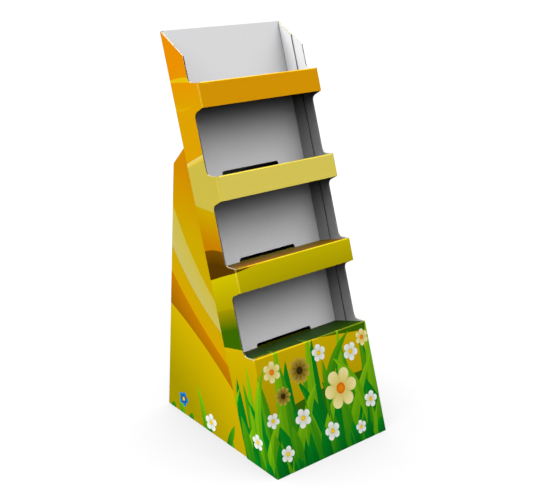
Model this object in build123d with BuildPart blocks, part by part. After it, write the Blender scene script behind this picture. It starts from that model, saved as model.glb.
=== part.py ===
"""A leaning corrugated-board display stand with four shelves.

The stand is three folded sheets of the same board. A printed shell makes the
front, the two sides and the four shelves. A plain liner closes its back and is
glued inside its sides. A printed support behind it keeps it from falling over.
"""
import os
from math import cos, radians, sin, tan

from build123d import *

# Board
BOARD = 4.0               # thickness of the corrugated board
FOLD_RADIUS = 3.5         # outside radius of a creased fold
GAP = 0.5                 # running clearance of a tab or a flap

# Leaning case
WIDTH = 500.0             # outside width of the shell
CASE_DEPTH = 156.0        # front face to rear edge, square to the lean
LEAN = 18.0               # degrees back from upright
BACK_HEIGHT = 1500.0      # length of the back, along the lean

# Shelves, with heights measured along the lean from the front bottom edge
SHELF_COUNT = 4
FIRST_SHELF = 403.0       # top face of the lowest shelf
SHELF_PITCH = 300.0
BAND_HEIGHT = 80.0        # printed band that hangs in front of each upper shelf

# Side cut-outs
NOTCH_DEPTH = 53.0        # how far an opening reaches into a side
NOTCH_DROP = 12.0         # fall of the opening's upper edge across the side
NOTCH_RISE = 9.0          # rise of its lower edge across the side
NOTCH_LOWER_RADIUS = 22.0
NOTCH_UPPER_RADIUS = 20.0

# Liner
RETURN_DEPTH = 59.0       # glued strip along the inside of each side
SLOT_WIDTH = 244.0
SLOT_RISE = 13.0          # open height left above the shelf's top face
SLOT_RADIUS = 9.0

# Shelf tabs
TAB_REACH = 14.0          # how far a tab stands out behind the liner
TAB_RADIUS = 6.0

# Rear support
SUPPORT_ATTACH = 1121.0   # where its top meets the back, along the lean
SUPPORT_SHOULDER = 71.0   # horizontal depth of its sloping top
SUPPORT_TOP_SLOPE = 45.0  # degrees below level
SUPPORT_BACK_LEAN = 5.4   # degrees forward from upright
FLAP_WIDTH = 40.0         # glue flaps on the back of the liner
FLAP_TAPER = 30.0         # slanted run at each end of a flap

# Worked-out places
lean_sin = sin(radians(LEAN))
lean_cos = cos(radians(LEAN))


def upright_place(depth, height):
    """Level distance and height above the floor of a point given in the lean's frame."""
    level = depth * lean_cos + height * lean_sin
    rise = height * lean_cos - depth * lean_sin
    return level, rise


attach_y, attach_z = upright_place(CASE_DEPTH, SUPPORT_ATTACH)
shoulder_y = attach_y + SUPPORT_SHOULDER
shoulder_z = attach_z - SUPPORT_SHOULDER * tan(radians(SUPPORT_TOP_SLOPE))
foot_y = shoulder_y + shoulder_z * tan(radians(SUPPORT_BACK_LEAN))
heel_y = CASE_DEPTH / lean_cos
heel_height = CASE_DEPTH * lean_sin / lean_cos

inner_width = WIDTH - 2 * BOARD
shelf_width = inner_width - 2 * BOARD - 2 * GAP
tab_width = SLOT_WIDTH - 2 * GAP
liner_face = CASE_DEPTH - BOARD
shelf_heights = [FIRST_SHELF + i * SHELF_PITCH for i in range(SHELF_COUNT)]
top_shelf = shelf_heights[-1]

# The front bottom edge lies half the stand's depth in front of the origin.
front_edge = (0, -foot_y / 2, 0)
across_lean = Plane(origin=front_edge, x_dir=(1, 0, 0), z_dir=(0, lean_sin, lean_cos))
side_of_lean = Plane(origin=front_edge, x_dir=(0, lean_cos, -lean_sin), z_dir=(1, 0, 0))
face_of_lean = Plane(origin=front_edge, x_dir=(1, 0, 0), z_dir=(0, -lean_cos, lean_sin))
side_upright = Plane(origin=front_edge, x_dir=(0, 1, 0), z_dir=(1, 0, 0))
liner_back = face_of_lean.offset(-CASE_DEPTH)


def front_opening(low, high):
    """Side view of one opening, with its rounded corners in the side panels."""
    with BuildSketch() as outline:
        with BuildLine():
            Polyline(
                (-BOARD, low),
                (BOARD, low),
                (NOTCH_DEPTH, low + NOTCH_RISE),
                (NOTCH_DEPTH, high - NOTCH_DROP),
                (BOARD, high),
                (-BOARD, high),
                close=True,
            )
        make_face()
        rear_corners = outline.vertices().group_by(Axis.X)[-1].sort_by(Axis.Y)
        fillet(rear_corners[0], NOTCH_LOWER_RADIUS)
        rear_corners = outline.vertices().group_by(Axis.X)[-1].sort_by(Axis.Y)
        fillet(rear_corners[-1], NOTCH_UPPER_RADIUS)
    return outline.sketch


def top_opening():
    """Side view of what is cut away above the top shelf."""
    above = BACK_HEIGHT + BOARD
    step = BACK_HEIGHT - (CASE_DEPTH - NOTCH_DEPTH)
    with BuildSketch() as outline:
        with BuildLine():
            Polyline(
                (-BOARD, top_shelf),
                (BOARD, top_shelf),
                (NOTCH_DEPTH, top_shelf + NOTCH_RISE),
                (NOTCH_DEPTH, step),
                (CASE_DEPTH + BOARD, above),
                (-BOARD, above),
                close=True,
            )
        make_face()
        low_corner = outline.vertices().filter_by_position(Axis.X, NOTCH_DEPTH, NOTCH_DEPTH)
        fillet(low_corner.sort_by(Axis.Y)[0], NOTCH_LOWER_RADIUS)
    return outline.sketch


def shelf_outline():
    """Plan of one shelf, from the fold to the end of its tab."""
    with BuildSketch() as outline:
        with Locations((0, BOARD / 2)):
            Rectangle(shelf_width, liner_face - GAP - BOARD / 2, align=(Align.CENTER, Align.MIN))
        with Locations((0, NOTCH_DEPTH)):
            reach = CASE_DEPTH + TAB_REACH - NOTCH_DEPTH
            Rectangle(tab_width, reach, align=(Align.CENTER, Align.MIN))
        fillet(outline.vertices().group_by(Axis.Y)[-1], TAB_RADIUS)
    return outline.sketch


def fold_waste(level):
    """Side view of the sliver outside the round of a shelf's front fold."""
    with BuildSketch() as outline:
        with BuildLine():
            Line((0, level), (0, level - FOLD_RADIUS))
            Line((0, level), (FOLD_RADIUS, level))
            RadiusArc((0, level - FOLD_RADIUS), (FOLD_RADIUS, level), FOLD_RADIUS)
        make_face()
    return outline.sketch


def slot_outline(level):
    """One slot of the liner, rounded at its upper corners."""
    with BuildSketch() as outline:
        with Locations((0, level + SLOT_RISE)):
            slot_height = SLOT_RISE + BOARD + GAP
            Rectangle(SLOT_WIDTH, slot_height, align=(Align.CENTER, Align.MAX))
        fillet(outline.vertices().group_by(Axis.Y)[-1], SLOT_RADIUS)
    return outline.sketch


def support_outline(beyond=0.0):
    """Side view of the support, run on past its open front and foot."""
    top_slope = tan(radians(SUPPORT_TOP_SLOPE))
    back_slope = tan(radians(SUPPORT_BACK_LEAN))
    with BuildSketch() as outline:
        with BuildLine():
            Polyline(
                (heel_y - beyond, -beyond),
                (attach_y - beyond, attach_z + beyond * top_slope),
                (shoulder_y, shoulder_z),
                (foot_y + beyond * back_slope, -beyond),
                close=True,
            )
        make_face()
    return outline.sketch


def flap_outline(length):
    """A glue flap along the X axis, tapered towards its free edge."""
    with BuildSketch() as outline:
        with BuildLine():
            Polyline(
                (-length / 2, 0),
                (length / 2, 0),
                (length / 2 - FLAP_TAPER, FLAP_WIDTH),
                (FLAP_TAPER - length / 2, FLAP_WIDTH),
                close=True,
            )
        make_face()
    return outline.sketch


with BuildPart() as printed_shell:
    # Front and sides, folded round the two front corners
    with BuildSketch(across_lean) as wall_section:
        Rectangle(WIDTH, CASE_DEPTH, align=(Align.CENTER, Align.MIN))
        fillet(wall_section.vertices().group_by(Axis.Y)[0], FOLD_RADIUS)
        with Locations((0, BOARD)):
            Rectangle(inner_width, CASE_DEPTH, align=(Align.CENTER, Align.MIN), mode=Mode.SUBTRACT)
    extrude(amount=BACK_HEIGHT)

    # Openings between the bands, and the open top
    with BuildSketch(side_of_lean):
        for level in shelf_heights[:-1]:
            add(front_opening(level, level + SHELF_PITCH - BAND_HEIGHT))
        add(top_opening())
    extrude(amount=WIDTH, both=True, mode=Mode.SUBTRACT)

    # Shelves folded in from the top edge of the front and of each band
    for level in shelf_heights:
        with BuildSketch(across_lean.offset(level)):
            add(shelf_outline())
        extrude(amount=-BOARD)

    with BuildSketch(side_of_lean):
        for level in shelf_heights:
            add(fold_waste(level))
    extrude(amount=shelf_width / 2, both=True, mode=Mode.SUBTRACT)

    # Foot cut level with the floor
    split(bisect_by=Plane.XY, keep=Keep.TOP)

printed_shell.part.label = "printed_shell"


with BuildPart() as back_liner:
    # Back panel with a return along each side
    with BuildSketch(across_lean) as liner_section:
        with Locations((0, CASE_DEPTH)):
            Rectangle(inner_width, RETURN_DEPTH, align=(Align.CENTER, Align.MAX))
        fillet(liner_section.vertices().group_by(Axis.Y)[-1], FOLD_RADIUS)
        with Locations((0, liner_face)):
            clear_width = inner_width - 2 * BOARD
            Rectangle(
                clear_width, RETURN_DEPTH, align=(Align.CENTER, Align.MAX), mode=Mode.SUBTRACT
            )
    extrude(amount=BACK_HEIGHT)

    # Returns cut to the slope of the sides, with the back panel left square
    with BuildSketch(side_of_lean):
        add(top_opening())
        with Locations((liner_face, BACK_HEIGHT)):
            Rectangle(3 * BOARD, 3 * BOARD, align=(Align.MIN, Align.CENTER), mode=Mode.SUBTRACT)
    extrude(amount=WIDTH, both=True, mode=Mode.SUBTRACT)

    # Slots for the shelf tabs
    with BuildSketch(liner_back):
        for level in shelf_heights:
            add(slot_outline(level))
    extrude(amount=2 * BOARD, mode=Mode.SUBTRACT)

    split(bisect_by=Plane.XY, keep=Keep.TOP)

back_liner.part.label = "back_liner"


with BuildPart() as rear_support:
    # Back, sides and sloping top, open in front and at the foot
    with BuildSketch(side_upright) as support_side:
        add(support_outline())
        fillet(support_side.vertices().sort_by(Axis.X)[-2], FOLD_RADIUS)
    extrude(amount=inner_width / 2, both=True)
    back_panel = rear_support.faces().filter_by(GeomType.PLANE).sort_by(Axis.Y)[-1]
    fillet(back_panel.edges().filter_by(Axis.X, reverse=True), FOLD_RADIUS)
    with BuildSketch(side_upright):
        add(support_outline(beyond=4 * BOARD))
        offset(amount=-BOARD, kind=Kind.INTERSECTION, mode=Mode.REPLACE)
    extrude(amount=inner_width / 2 - BOARD, both=True, mode=Mode.SUBTRACT)

    # Glue flaps folded in behind the liner
    with BuildSketch(liner_back):
        side_length = SUPPORT_ATTACH - heel_height
        for side in (-1, 1):
            with Locations(Location((side * inner_width / 2, (SUPPORT_ATTACH + heel_height) / 2), side * 90)):
                add(flap_outline(side_length - 2 * GAP))
        with Locations(Location((0, SUPPORT_ATTACH), 180)):
            add(flap_outline(inner_width - 2 * BOARD))
    extrude(amount=-BOARD)

    split(bisect_by=Plane.XY, keep=Keep.TOP)

rear_support.part.label = "rear_support"


os.makedirs("parts", exist_ok=True)
export_step(printed_shell.part, "parts/printed_shell.step")
export_step(back_liner.part, "parts/back_liner.step")
export_step(rear_support.part, "parts/rear_support.step")
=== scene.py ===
"""A leaning cardboard display stand with four shelves, dressed and lit for a studio picture.

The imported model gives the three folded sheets. This script sorts their faces into printed face,
white face and cut edge, prints a meadow design on the sheets with shader nodes, and sets the
lights, the floor and the camera. Lengths are in metres.
"""
import math

import bpy
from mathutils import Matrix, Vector


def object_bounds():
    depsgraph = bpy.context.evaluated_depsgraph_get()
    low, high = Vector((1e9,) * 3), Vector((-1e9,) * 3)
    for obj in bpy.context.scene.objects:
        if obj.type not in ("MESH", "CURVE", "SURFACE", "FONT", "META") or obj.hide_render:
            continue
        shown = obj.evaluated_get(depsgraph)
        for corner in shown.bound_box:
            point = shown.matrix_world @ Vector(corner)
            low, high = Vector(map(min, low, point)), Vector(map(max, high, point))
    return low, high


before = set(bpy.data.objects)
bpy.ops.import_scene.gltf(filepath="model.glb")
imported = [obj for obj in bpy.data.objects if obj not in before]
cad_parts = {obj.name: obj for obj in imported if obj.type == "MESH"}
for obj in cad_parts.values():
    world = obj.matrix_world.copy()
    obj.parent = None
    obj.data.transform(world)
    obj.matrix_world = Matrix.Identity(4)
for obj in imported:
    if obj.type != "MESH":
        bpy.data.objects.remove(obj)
cad_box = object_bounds()

# Board and case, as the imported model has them
LEAN = math.radians(18.0)
BOARD = 0.004
WIDTH = cad_box[1].x - cad_box[0].x
FRONT_Y = cad_box[0].y
CASE_DEPTH = 0.156
FOLD_RADIUS = 0.0035
FIRST_SHELF = 0.403
SHELF_PITCH = 0.300
SHELF_WIDTH = WIDTH - 4 * BOARD - 0.001
LINER_FOLD = WIDTH / 2 - 2 * BOARD
RETURN_DEPTH = 0.059
RETURN_EDGE = CASE_DEPTH - RETURN_DEPTH
SUPPORT_HALF_WIDTH = WIDTH / 2 - BOARD
SUPPORT_FOOT = cad_box[1].y - FRONT_Y
SUPPORT_BACK_LEAN = math.radians(5.4)
ROUNDING = 0.0005
FACING = 0.7

LEAN_SIN = math.sin(LEAN)
LEAN_COS = math.cos(LEAN)
DEPTH_AXIS = Vector((0.0, LEAN_COS, -LEAN_SIN))
LEAN_AXIS = Vector((0.0, LEAN_SIN, LEAN_COS))

# Cut edges: the length of a wave, and its swing, its half thickness and the inner side
# of the liners, as shares of half the board
FLUTE_PITCH = 0.0078
FLUTE_SWING = 0.72
FLUTE_HALF = 0.24
LINER_FROM = 0.8

# Light: where the two suns stand, the sky, and the floor's own tone and glow
KEY_FROM = (-0.80, 0.24, 0.56)
FLOOR_LIGHT_FROM = (-0.35, 0.45, 0.82)
SKY_STRENGTH = 3.2
SKY_FALL = 1.65
FLOOR_TONE = 0.22
FLOOR_GLOW = 0.56
WHITE_LIGHT = (1.0, 1.0, 1.0, 1.0)

# Camera, solved from the corners of the stand
CAMERA_PLACE = (-1.8865, -2.3197, 1.7204)
CAMERA_TURN = math.radians(38.80)
CAMERA_TILT = math.radians(19.34)
CAMERA_LENS_MM = 61.665
SENSOR_MM = 36.0


class Signal:
    """A shader socket that can stand in a Python expression."""

    def __init__(self, tree, socket):
        self.tree = tree
        self.socket = socket

    def node(self, kind, settings, inputs, output=0):
        """Adds a node to the same tree, and returns one of its outputs."""
        return add_node(self.tree, kind, settings, inputs, output)

    def math(self, operation, *values):
        return self.node("ShaderNodeMath", {"operation": operation}, dict(enumerate(values)))

    def __add__(self, other):
        return self.math("ADD", self, other)

    def __radd__(self, other):
        return self.math("ADD", other, self)

    def __sub__(self, other):
        return self.math("SUBTRACT", self, other)

    def __rsub__(self, other):
        return self.math("SUBTRACT", other, self)

    def __mul__(self, other):
        return self.math("MULTIPLY", self, other)

    def __rmul__(self, other):
        return self.math("MULTIPLY", other, self)

    def __truediv__(self, other):
        return self.math("DIVIDE", self, other)

    def __rtruediv__(self, other):
        return self.math("DIVIDE", other, self)

    def __pow__(self, other):
        return self.math("POWER", self, other)

    def __abs__(self):
        return self.math("ABSOLUTE", self)

    def __gt__(self, other):
        return self.math("GREATER_THAN", self, other)

    def __lt__(self, other):
        return self.math("LESS_THAN", self, other)

    def sin(self):
        return self.math("SINE", self)

    def floor(self):
        return self.math("FLOOR", self)

    def sign(self):
        return self.math("SIGN", self)

    def least(self, other):
        return self.math("MINIMUM", self, other)

    def most(self, other):
        return self.math("MAXIMUM", self, other)

    def clamped(self):
        """The same value, kept between 0 and 1."""
        return self.node("ShaderNodeClamp", {}, {"Value": self})


def add_node(tree, kind, settings, inputs, output=0):
    """Adds a node, sets it up, fills its sockets with values or links, and returns an output."""
    made = tree.nodes.new(kind)
    for name, value in settings.items():
        setattr(made, name, value)
    for name, value in inputs.items():
        if isinstance(value, Signal):
            tree.links.new(value.socket, made.inputs[name])
        else:
            made.inputs[name].default_value = value
    return Signal(tree, made.outputs[output])


def mix_colour(below, above, share):
    """The lower colour with a share, from 0 to 1, of the upper one over it."""
    return share.node("ShaderNodeMix", {"data_type": "RGBA"}, {0: share, 6: below, 7: above}, 2)


def mix_place(below, above, share):
    """The lower vector, or the upper one where the share is 1."""
    return share.node("ShaderNodeMix", {"data_type": "VECTOR"}, {0: share, 4: below, 5: above}, 1)


def parts_of(vector):
    """The three numbers of a vector, as signals."""
    split = vector.node("ShaderNodeSeparateXYZ", {}, {0: vector})
    return [Signal(vector.tree, socket) for socket in split.socket.node.outputs]


def screen_colour(red, green, blue):
    """A colour given by the 0 to 255 numbers of a screen, as linear light."""
    linear = []
    for value in (red, green, blue):
        share = value / 255.0
        linear.append(share / 12.92 if share <= 0.04045 else ((share + 0.055) / 1.055) ** 2.4)
    return (*linear, 1.0)


def new_material(name):
    """A material, its node tree, and the Principled shader in it."""
    material = bpy.data.materials.new(name)
    material.use_nodes = True
    tree = material.node_tree
    return material, tree, tree.nodes["Principled BSDF"]


def row_place(tree):
    """Across, back from the foot of the front, and above the floor, as three signals."""
    across, along, up = parts_of(add_node(tree, "ShaderNodeTexCoord", {}, {}, "Object"))
    return across, along - FRONT_Y, up


def case_place(tree):
    """Across, depth behind the front face, and height along the lean, as three signals."""
    across, back, up = row_place(tree)
    depth = back * LEAN_COS - up * LEAN_SIN
    height = back * LEAN_SIN + up * LEAN_COS
    return across, depth, height


def shelves_up(height):
    """How many shelf spacings a height lies above the lowest shelf."""
    return (height - FIRST_SHELF) * (1.0 / SHELF_PITCH)


def paper_noise(tree, size, detail=3.0):
    """Soft random values about 0.5, with lumps of this size."""
    place = add_node(tree, "ShaderNodeTexCoord", {}, {}, "Object")
    settings = {"Vector": place, "Scale": 1.0 / size, "Detail": detail}
    return place.node("ShaderNodeTexNoise", {}, settings)


def board_relief(shader, along, flute, fibre):
    """The faint ribs of the flutes and the fibre of the paper, as a bump."""
    ribs = (along * (2 * math.pi / FLUTE_PITCH)).sin()
    relief = ribs * flute + paper_noise(along.tree, 0.0012) * fibre
    bump = relief.node("ShaderNodeBump", {}, {"Height": relief, "Distance": 1.0, "Strength": 1.0})
    along.tree.links.new(bump.socket, shader.inputs["Normal"])


class Picture:
    """A flat picture on an unfolded sheet, laid in layers from the back."""

    def __init__(self, along, up, ground):
        self.along = along
        self.up = up
        self.place = along.node("ShaderNodeCombineXYZ", {}, {0: along, 1: up})
        self.colour = ground

    def lay(self, colour, share):
        self.colour = mix_colour(self.colour, colour, share)

    def gap(self, middle):
        """How far each point lies from a middle."""
        inputs = {0: self.place, 1: (*middle, 0.0)}
        return self.place.node("ShaderNodeVectorMath", {"operation": "DISTANCE"}, inputs, "Value")

    def field(self, inside, rim, deep, fade):
        """A colour field where inside is positive, from its rim colour to its deep colour."""
        self.lay(mix_colour(rim, deep, (inside * (1.0 / fade)).clamped()), inside > 0.0)

    def ground(self, left, right, bulge, rim, deep, fade):
        """A field under an arc from left to right, which bulges up, or down below zero."""
        self.field(self.arc_side(left, right, bulge), rim, deep, fade)

    def arc_side(self, foot, tip, bulge):
        """How far each point is on the inner side of an arc from foot to tip."""
        # A straight edge is taken as a very flat arc
        bulge = bulge or 0.0001
        chord = math.dist(foot, tip)
        radius = (chord * chord / 4 + bulge * bulge) / (2 * abs(bulge))
        normal = ((foot[1] - tip[1]) / chord, (tip[0] - foot[0]) / chord)
        offset = bulge - math.copysign(radius, bulge)
        middle = (
            (foot[0] + tip[0]) / 2 + normal[0] * offset,
            (foot[1] + tip[1]) / 2 + normal[1] * offset,
        )
        gap = self.gap(middle)
        return radius - gap if bulge > 0 else gap - radius

    def blade(self, foot, tip, bow, width, tones):
        """A leaf from foot to tip, bowed to its left, with a darker right half."""
        left = self.arc_side(foot, tip, bow + width / 2)
        right = self.arc_side(tip, foot, width / 2 - bow)
        light, dark = tones
        rise = ((self.up - foot[1]) * (1.0 / (abs(tip[1] - foot[1]) + 0.02))).clamped()
        shade = mix_colour(dark, light, rise * 0.7 + (left < right) * 0.3)
        self.lay(shade, left.least(right) > 0.0)

    def row(self, spacing, start, lean, bow, height, spread, width, tones):
        """A row of blades, each with a height of its own, that sway together."""
        sway = (self.along - start - self.up * lean - self.up * self.up * bow) * (1.0 / spacing)
        cell = sway.floor()
        from_middle = sway - cell - 0.5
        inputs = {"W": cell + start}
        chance = cell.node("ShaderNodeTexWhiteNoise", {"noise_dimensions": "1D"}, inputs)
        reach = (self.up / (chance * spread + height)).most(0.0)
        half = (1.0 - reach ** 3.0) * (width / spacing / 2)
        light, dark = tones
        tone = (reach * 0.85 + (from_middle < 0.0) * 0.18).clamped()
        self.lay(mix_colour(dark, light, tone), abs(from_middle) < half)

    def nearest(self, spots):
        """The nearest spot: how far it is in its own radius, and the angle about it."""
        closest = None
        for along, up, radius, turn in spots:
            gap = self.gap((along, up)) * (1.0 / radius)
            if closest is None:
                closest = gap
                where = gap.node("ShaderNodeCombineXYZ", {}, {0: along, 1: up, 2: turn})
            else:
                where = mix_place(where, (along, up, turn), gap < closest)
                closest = closest.least(gap)
        middle, level, turned = parts_of(where)
        angle = self.up.math("ARCTAN2", self.up - level, self.along - middle)
        return closest, angle + turned

    def blossoms(self, spots, petals, tones, heart_tones):
        """Round-petalled blossoms, one at each spot."""
        reach, angle = self.nearest(spots)
        lobe = abs((angle * (petals / 2)).sin())
        petal, shade = tones
        heart, heart_rim = heart_tones
        tone = (reach * 1.3 - 0.35).clamped() * (lobe * 1.6).clamped()
        self.lay(mix_colour(shade, petal, tone), reach < lobe ** 0.55 * 0.45 + 0.55)
        self.lay(mix_colour(heart, heart_rim, (reach * 4.6 - 0.4).clamped()), reach < 0.27)


# Inks of the printed sheets, where a pair goes from light to dark or from middle to rim
ORANGE = screen_colour(232, 143, 0)
AMBER = screen_colour(219, 160, 0)
FRONT_AMBER = screen_colour(231, 161, 0)
DEEP_AMBER = screen_colour(209, 137, 0)
SUN = screen_colour(230, 190, 10)
PALE_SUN = screen_colour(228, 214, 122)
KHAKI = screen_colour(233, 215, 95)
SIDE_KHAKI = screen_colour(203, 186, 71)
SIDE_PALE = screen_colour(202, 188, 104)
HONEY = screen_colour(202, 167, 0)
RUST = screen_colour(198, 126, 0)
BROWN = screen_colour(122, 78, 0)
DARK_BROWN = screen_colour(86, 54, 0)
OLIVE_LIME = screen_colour(208, 191, 0)
MOSS = screen_colour(58, 104, 0)
FIELD_YELLOW = screen_colour(210, 178, 0)
FIELD_OLIVE = screen_colour(164, 148, 0)
FOOT_GREEN = screen_colour(0, 112, 24)
LEAF_TONES = (screen_colour(136, 194, 14), screen_colour(70, 148, 8))
MID_TONES = (screen_colour(84, 160, 8), screen_colour(18, 122, 16))
DARK_TONES = (screen_colour(8, 138, 28), screen_colour(0, 100, 26))
WHITE_PETAL = (screen_colour(250, 250, 250), screen_colour(214, 222, 206))
CREAM_PETAL = (screen_colour(248, 238, 170), screen_colour(222, 204, 112))
BLUE_PETAL = (screen_colour(40, 150, 214), screen_colour(16, 74, 150))
YELLOW_HEART = (screen_colour(248, 214, 20), screen_colour(226, 164, 0))
ORANGE_HEART = (screen_colour(240, 140, 16), screen_colour(222, 92, 0))
# Worn ink and painted highlight along the folds
FOLD_HIGHLIGHT_YELLOW = screen_colour(255, 230, 50)
HUSK_PETAL = (screen_colour(196, 170, 66), screen_colour(112, 88, 20))
HUSK_HEART = (screen_colour(58, 46, 14), screen_colour(34, 28, 8))
BLACK = screen_colour(0, 0, 0)
# Share of black laid over the shelf tops as painted shade
SHELF_PAINTED_SHADE = 0.62

# Tones of the bare board, each pair mixed by its fibres, and the painted shades on it
WHITE_PAPER = (screen_colour(232, 232, 234), screen_colour(242, 242, 243))
CUT_PAPER = (screen_colour(226, 218, 192), screen_colour(246, 242, 228))
# Painted shade in the cavities of a cut edge, between the flutes and on the upright edges
FLUTE_HOLLOW_SHADE = (screen_colour(150, 136, 104), screen_colour(176, 164, 132))
UPRIGHT_HOLLOW_SHADE = (screen_colour(34, 31, 24), screen_colour(72, 66, 52))
# Painted shade in the inner corner where the liner's returns fold
CREASE_SHADE_GREY = screen_colour(96, 94, 92)
CREASE_SHADE_WIDTH = 0.004
# Painted shadow on the white face in front of the returns' edges
SEAM_SHADOW_GREY = screen_colour(70, 68, 62)


def shell_picture(tree):
    """The print of the shell, over the unfolded sheet, with painted shade on the shelf tops and
    painted highlights along the folds.
    """
    across, depth, height = case_place(tree)
    on_side = abs(across) > WIDTH / 2 - FOLD_RADIUS
    along = across + across.sign() * depth * on_side
    up = height + depth * (1.0 - on_side)
    side_ground = mix_colour(AMBER, ORANGE, ((up - 1.24) * 8.0).clamped())
    picture = Picture(along, up, mix_colour(FRONT_AMBER, side_ground, on_side))
    # Far sweeps, then the hills from the top down
    picture.blade((-0.44, 1.335), (-0.20, 1.292), 0.010, 0.016, (SUN, SUN))
    picture.blade((-0.30, 1.240), (-0.46, 1.262), 0.010, 0.020, (SUN, AMBER))
    picture.ground((-0.41, 1.060), (0.41, 1.040), 0.050, PALE_SUN, SUN, 0.016)
    khaki = mix_colour(KHAKI, SIDE_KHAKI, on_side)
    picture.ground((-0.41, 1.046), (0.41, 1.028), 0.042, khaki, khaki, 0.1)
    picture.ground((-0.41, 0.925), (0.30, 0.840), -0.040, HONEY, RUST, 0.12)
    picture.ground((-0.52, 0.720), (-0.20, 0.700), 0.060, BROWN, DARK_BROWN, 0.05)
    picture.ground((-0.41, 0.668), (0.41, 0.694), 0.028, OLIVE_LIME, FIELD_OLIVE, 0.14)
    picture.ground((-0.41, 0.560), (0.41, 0.600), 0.020, FIELD_OLIVE, MOSS, 0.07)
    picture.ground((-0.41, 0.440), (0.41, 0.345), 0.012, FIELD_YELLOW, FIELD_OLIVE, 0.30)
    picture.ground((-0.41, 0.150), (0.41, 0.230), 0.040, MOSS, FOOT_GREEN, 0.10)
    # Meadow: rows of grass, single leaves, stems and blossoms
    picture.row(0.118, 0.030, -0.06, 0.30, 0.28, 0.14, 0.060, DARK_TONES)
    picture.row(0.091, 0.071, 0.06, -0.20, 0.20, 0.20, 0.046, MID_TONES)
    picture.row(0.137, 0.013, 0.03, 0.12, 0.35, 0.16, 0.040, LEAF_TONES)
    picture.row(0.083, 0.052, -0.22, -0.50, 0.17, 0.13, 0.052, DARK_TONES)
    picture.row(0.124, 0.022, 0.30, 0.90, 0.14, 0.17, 0.046, LEAF_TONES)
    picture.row(0.078, 0.044, 0.10, -0.60, 0.09, 0.12, 0.050, MID_TONES)
    picture.row(0.065, 0.009, -0.12, 1.40, 0.04, 0.08, 0.044, DARK_TONES)
    picture.blade((-0.30, 0.02), (-0.215, 0.372), 0.034, 0.034, LEAF_TONES)
    picture.blade((0.01, 0.12), (0.165, 0.392), 0.040, 0.036, MID_TONES)
    picture.blade((0.17, 0.05), (0.070, 0.318), -0.036, 0.036, LEAF_TONES)
    picture.blade((-0.10, 0.06), (-0.02, 0.255), 0.020, 0.034, LEAF_TONES)
    for foot, head in ((-0.052, -0.078), (-0.150, -0.164), (0.104, 0.082), (0.030, 0.016)):
        picture.blade((foot, -0.02), (head, 0.335 - abs(head)), 0.006, 0.007, MID_TONES)
    husks = ((-0.078, 0.318, 0.046, 0.2), (-0.164, 0.256, 0.032, 1.1))
    picture.blossoms(husks, 9, HUSK_PETAL, HUSK_HEART)
    cream = ((0.082, 0.208, 0.072, 0.5), (-0.190, 0.345, 0.036, 1.2), (0.218, 0.352, 0.030, 0.1))
    picture.blossoms(cream, 6, CREAM_PETAL, ORANGE_HEART)
    white = (
        (0.016, 0.352, 0.030, 0.3),
        (0.155, 0.318, 0.033, 0.9),
        (-0.100, 0.160, 0.034, 0.0),
        (0.206, 0.130, 0.030, 0.6),
        (0.012, 0.078, 0.033, 1.4),
        (-0.190, 0.066, 0.028, 0.7),
        (0.140, 0.050, 0.024, 0.2),
        (-0.222, 0.190, 0.026, 1.0),
        (-0.322, 0.118, 0.028, 0.5),
        (0.330, 0.240, 0.032, 0.4),
    )
    picture.blossoms(white, 5, WHITE_PETAL, YELLOW_HEART)
    # Painted shade: the shelf tops are darkened with black, below the front's tone
    on_shelf = (depth > FOLD_RADIUS) * (1.0 - on_side)
    picture.lay(BLACK, on_shelf * SHELF_PAINTED_SHADE)
    # Ink worn along the corner folds and the fold of each shelf, with a painted highlight there,
    # least at the lowest shelf
    on_corner = on_side * (depth < FOLD_RADIUS)
    from_shelf = shelves_up(height)
    shelf_gap = abs(from_shelf - (from_shelf + 0.5).floor()) * SHELF_PITCH
    on_shelf_fold = (shelf_gap < FOLD_RADIUS) * (depth < FOLD_RADIUS) * (1.0 - on_side)
    above_base = height > FIRST_SHELF - 0.01
    fold_wear_and_highlight = on_shelf_fold * ((height > FIRST_SHELF + 0.1) * 1.0 + 0.6)
    worn_and_highlit = on_corner.most(fold_wear_and_highlight) * above_base * (paper_noise(tree, 0.004) * 0.5 - 0.02)
    picture.lay(FOLD_HIGHLIGHT_YELLOW, worn_and_highlit)
    return picture


def support_picture(tree):
    """The print of the support, over the unfolded sheet."""
    across, back, up = row_place(tree)
    from_back_fold = back + up * math.tan(SUPPORT_BACK_LEAN) - SUPPORT_FOOT
    on_side = abs(across) > SUPPORT_HALF_WIDTH - FOLD_RADIUS
    along = across - across.sign() * from_back_fold * on_side
    # The sweeps and the hill are alike on both sides, and round over the middle of the back
    mirrored = (along * along + 0.005) ** 0.5 * -1.0
    hills = Picture(mirrored, up, mix_colour(HONEY, DEEP_AMBER, ((up - 0.70) * 4.0).clamped()))
    hills.ground((-0.72, 0.40), (-0.22, 0.87), -0.060, SIDE_KHAKI, SIDE_PALE, 0.09)
    hills.ground((-0.72, 0.35), (-0.22, 0.70), -0.050, HONEY, AMBER, 0.10)
    hills.ground((-0.74, 0.24), (-0.22, 0.59), -0.030, RUST, BROWN, 0.16)
    hills.ground((-0.74, 0.15), (-0.22, 0.44), 0.022, FIELD_YELLOW, FIELD_OLIVE, 0.27)
    picture = Picture(along, up, hills.colour)
    picture.row(0.150, 0.031, 0.30, 0.9, 0.04, 0.12, 0.034, LEAF_TONES)
    picture.row(0.117, 0.012, -0.20, -0.6, 0.02, 0.08, 0.030, MID_TONES)
    blue = ((-0.345, 0.060, 0.030, 0.1), (0.31, 0.10, 0.030, 0.4))
    picture.blossoms(blue, 5, BLUE_PETAL, YELLOW_HEART)
    white = ((-0.520, 0.040, 0.034, 0.4), (0.02, 0.09, 0.036, 0.4), (0.47, 0.05, 0.032, 0.9))
    picture.blossoms(white, 5, WHITE_PETAL, YELLOW_HEART)
    return picture


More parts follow.
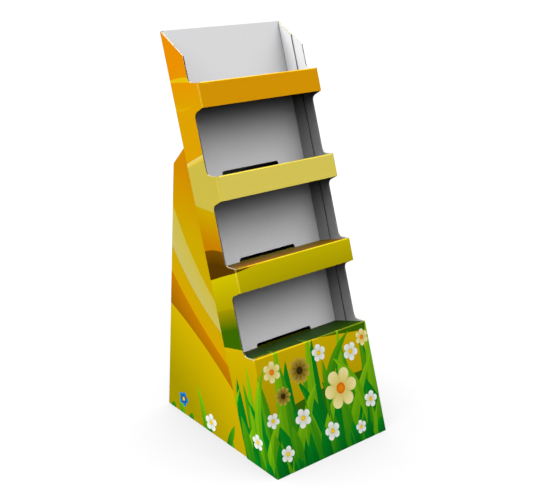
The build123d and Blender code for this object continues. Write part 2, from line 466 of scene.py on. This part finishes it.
def printed_board(name, draw):
    """Satin print on corrugated board."""
    material, tree, shader = new_material(name)
    picture = draw(tree)
    grain = paper_noise(tree, 0.0006)
    ink = mix_colour(picture.colour, BLACK, grain * 0.05)
    tree.links.new(ink.socket, shader.inputs["Base Color"])
    gloss = paper_noise(tree, 0.03) * 0.12 + 0.42
    tree.links.new(gloss.socket, shader.inputs["Roughness"])
    shader.inputs["Specular IOR Level"].default_value = 0.02
    board_relief(shader, picture.along, 0.00002, 0.00004)
    return material


def white_board():
    """The uncoated white face of the board, with painted shade in the liner's folds and a painted
    shadow in front of the returns' edges.
    """
    material, tree, shader = new_material("white_board")
    across, depth, height = case_place(tree)
    along = across + across.sign() * depth * (abs(across) > WIDTH / 2 - 2 * BOARD - ROUNDING)
    shade = mix_colour(*WHITE_PAPER, paper_noise(tree, 0.004, 6.0))
    # Painted shade in the inner corner where the liner's returns fold along their score line
    from_fold = abs(abs(across) - LINER_FOLD) + abs(depth - CASE_DEPTH + BOARD)
    crease_shade = (1.0 - from_fold * (1.0 / CREASE_SHADE_WIDTH)).clamped() * 0.5
    shade = mix_colour(shade, CREASE_SHADE_GREY, crease_shade)
    # Painted shadow in front of the edge of each return, wider near the shelf below it
    from_shelf = shelves_up(height)
    reach = (from_shelf.floor() - from_shelf + 1.0) * 0.004 + 0.001
    before = (RETURN_EDGE - depth) / reach
    seam_shadow = (1.0 - before) * (before > 0.0) * (abs(across) > WIDTH / 2 - BOARD - ROUNDING)
    shade = mix_colour(shade, SEAM_SHADOW_GREY, seam_shadow.clamped() * 0.8)
    tree.links.new(shade.socket, shader.inputs["Base Color"])
    shader.inputs["Roughness"].default_value = 0.7
    shader.inputs["Specular IOR Level"].default_value = 0.2
    board_relief(shader, along, 0.00003, 0.00006)
    return material


def cut_edge(name, through_axis, along_flutes=False):
    """A cut edge: two liners, and between them the wave of the flutes or a plain cavity; the
    cavities are painted shade.
    """
    material, tree, shader = new_material(name)
    across, depth, height = case_place(tree)
    through = {
        "across": WIDTH / 2 - abs(across),
        "depth": depth,
        "height": height - FIRST_SHELF,
    }[through_axis]
    run = depth if through_axis == "across" else across
    sheets = through * (1.0 / BOARD)
    middle = (sheets - sheets.floor() - 0.5) * 2.0
    wave = (run * (2 * math.pi / FLUTE_PITCH)).sin() * FLUTE_SWING
    liner = abs(middle) > LINER_FROM
    paper = liner if along_flutes else liner.most(abs(middle - wave) < FLUTE_HALF)
    fibre = paper_noise(tree, 0.0015)
    # The cavities between the papers are painted shade
    hollow_shade = mix_colour(*(UPRIGHT_HOLLOW_SHADE if along_flutes else FLUTE_HOLLOW_SHADE), fibre)
    shade = mix_colour(hollow_shade, mix_colour(*CUT_PAPER, fibre), paper)
    tree.links.new(shade.socket, shader.inputs["Base Color"])
    shader.inputs["Roughness"].default_value = 0.85
    shader.inputs["Specular IOR Level"].default_value = 0.1
    bump = paper.node("ShaderNodeBump", {}, {"Height": paper * 0.0004, "Distance": 1.0})
    tree.links.new(bump.socket, shader.inputs["Normal"])
    return material


# Material slots of each node, in order
PRINT, WHITE, CUT_ACROSS, CUT_DEPTH, CUT_HEIGHT, CUT_UPRIGHT = range(6)


def lean_place(point):
    """How far across a point is, and how deep behind the front face."""
    from_front = point - Vector((0.0, FRONT_Y, 0.0))
    return from_front.x, from_front.dot(DEPTH_AXIS)


def on_floor(normal):
    """Whether a face is a cut edge that stands on the floor."""
    return normal.z < -0.9


def side_cut(back):
    """The cut edge of a side or a return, by how far its face looks back or to the front."""
    return CUT_UPRIGHT if abs(back) > 0.8 else CUT_ACROSS


def shell_face(middle, normal):
    """Which finish a face of the shell has."""
    across, depth = lean_place(middle)
    outward, back, up = normal.x * across, normal.dot(DEPTH_AXIS), normal.dot(LEAN_AXIS)
    if abs(across) > WIDTH / 2 - BOARD - ROUNDING and depth > BOARD:
        if abs(normal.x) < FACING or on_floor(normal):
            return side_cut(back)
        return PRINT if outward > 0 else WHITE
    on_front = depth < FOLD_RADIUS + 0.0002
    if on_front and not on_floor(normal) and (back < -0.2 or abs(normal.x) > 0.5):
        return PRINT
    if up > 0.2 and abs(across) < SHELF_WIDTH / 2 - ROUNDING:
        return PRINT
    if back > FACING and depth < BOARD + 2 * ROUNDING:
        return WHITE
    if up < -FACING and depth > BOARD - ROUNDING and abs(across) < SHELF_WIDTH / 2:
        return WHITE
    return CUT_HEIGHT if depth > BOARD else CUT_DEPTH


def liner_face(middle, normal):
    """Which finish a face of the liner has."""
    across, depth = lean_place(middle)
    on_return = abs(across) > WIDTH / 2 - 2 * BOARD - ROUNDING and depth < CASE_DEPTH - BOARD
    if on_return and abs(normal.x) < FACING:
        return side_cut(normal.dot(DEPTH_AXIS))
    if abs(normal.x) > FACING and abs(across) < WIDTH / 2 - 3 * BOARD:
        return CUT_DEPTH
    if abs(normal.dot(LEAN_AXIS)) > 0.5 or on_floor(normal):
        return CUT_DEPTH
    return WHITE


def support_face(middle, normal):
    """Which finish a face of the support has."""
    across = middle.x
    if on_floor(normal):
        return CUT_ACROSS if abs(across) > SUPPORT_HALF_WIDTH - BOARD else CUT_DEPTH
    on_side = abs(across) > SUPPORT_HALF_WIDTH - ROUNDING
    if (on_side and normal.x * across > 0) or normal.y > 0.3:
        return PRINT
    return WHITE


def dress(node, finishes, sort_face):
    """Gives each face of a CAD node the finish that sort_face picks for it."""
    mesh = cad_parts[node].data
    mesh.materials.clear()
    for finish in finishes:
        mesh.materials.append(finish)
    for face in mesh.polygons:
        face.material_index = sort_face(face.center, face.normal)


def add_sun(name, direction, strength, angle, lit):
    """A soft distant light from this direction, which shines only on the objects in lit."""
    sun = bpy.data.lights.new(name, "SUN")
    sun.energy = strength
    sun.angle = math.radians(angle)
    light = bpy.data.objects.new(name, sun)
    light.rotation_euler = Vector(direction).to_track_quat("Z", "Y").to_euler()
    bpy.context.scene.collection.objects.link(light)
    receivers = bpy.data.collections.new("lit_by_" + name)
    for piece in lit:
        receivers.objects.link(piece)
    light.light_linking.receiver_collection = receivers


def studio():
    """The pale floor, the soft lights and the camera."""
    bpy.ops.mesh.primitive_plane_add(size=300.0)
    floor = bpy.context.object
    floor.name = "floor"
    material, tree, shader = new_material("studio_floor")
    shader.inputs["Base Color"].default_value = (FLOOR_TONE, FLOOR_TONE, FLOOR_TONE, 1.0)
    shader.inputs["Roughness"].default_value = 0.9
    shader.inputs["Specular IOR Level"].default_value = 0.0
    shader.inputs["Emission Color"].default_value = WHITE_LIGHT
    shader.inputs["Emission Strength"].default_value = FLOOR_GLOW
    floor.data.materials.append(material)
    floor.visible_diffuse = False
    floor.visible_glossy = False

    scene = bpy.context.scene
    scene.view_settings.view_transform = "Standard"
    scene.cycles.diffuse_bounces = 0
    world = bpy.data.worlds.new("studio_light")
    scene.world = world
    world.use_nodes = True
    tree = world.node_tree
    background = tree.nodes["Background"]
    across, _, rise = parts_of(add_node(tree, "ShaderNodeTexCoord", {}, {}, "Generated"))
    seen = rise.node("ShaderNodeLightPath", {}, {}, "Is Camera Ray")
    # The sky is stronger on the right, where there is no key light
    sky = rise.most(0.0) ** SKY_FALL * SKY_STRENGTH * (across * 0.5 + 1.0)
    strength = sky * (1.0 - seen) + seen
    tree.links.new(strength.socket, background.inputs["Strength"])
    background.inputs["Color"].default_value = WHITE_LIGHT

    # The floor has a light of its own, so its shadow is short
    add_sun("key", KEY_FROM, 2.9, 30.0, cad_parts.values())
    add_sun("floor_light", FLOOR_LIGHT_FROM, 2.4, 60.0, [floor])

    camera = bpy.data.cameras.new("camera")
    camera.sensor_width = SENSOR_MM
    camera.lens = CAMERA_LENS_MM
    camera.clip_end = 1000.0
    viewer = bpy.data.objects.new("camera", camera)
    viewer.location = CAMERA_PLACE
    viewer.rotation_euler = (math.pi / 2 - CAMERA_TILT, 0.0, -CAMERA_TURN)
    scene.collection.objects.link(viewer)
    scene.camera = viewer


white = white_board()
cuts = [cut_edge("cut_edge_" + axis, axis) for axis in ("across", "depth", "height")]
cuts.append(cut_edge("cut_edge_upright", "across", along_flutes=True))
shell_print = printed_board("shell_print", shell_picture)
support_print = printed_board("support_print", support_picture)
dress("printed_shell", [shell_print, white, *cuts], shell_face)
dress("back_liner", [shell_print, white, *cuts], liner_face)
dress("rear_support", [support_print, white, *cuts], support_face)
studio()
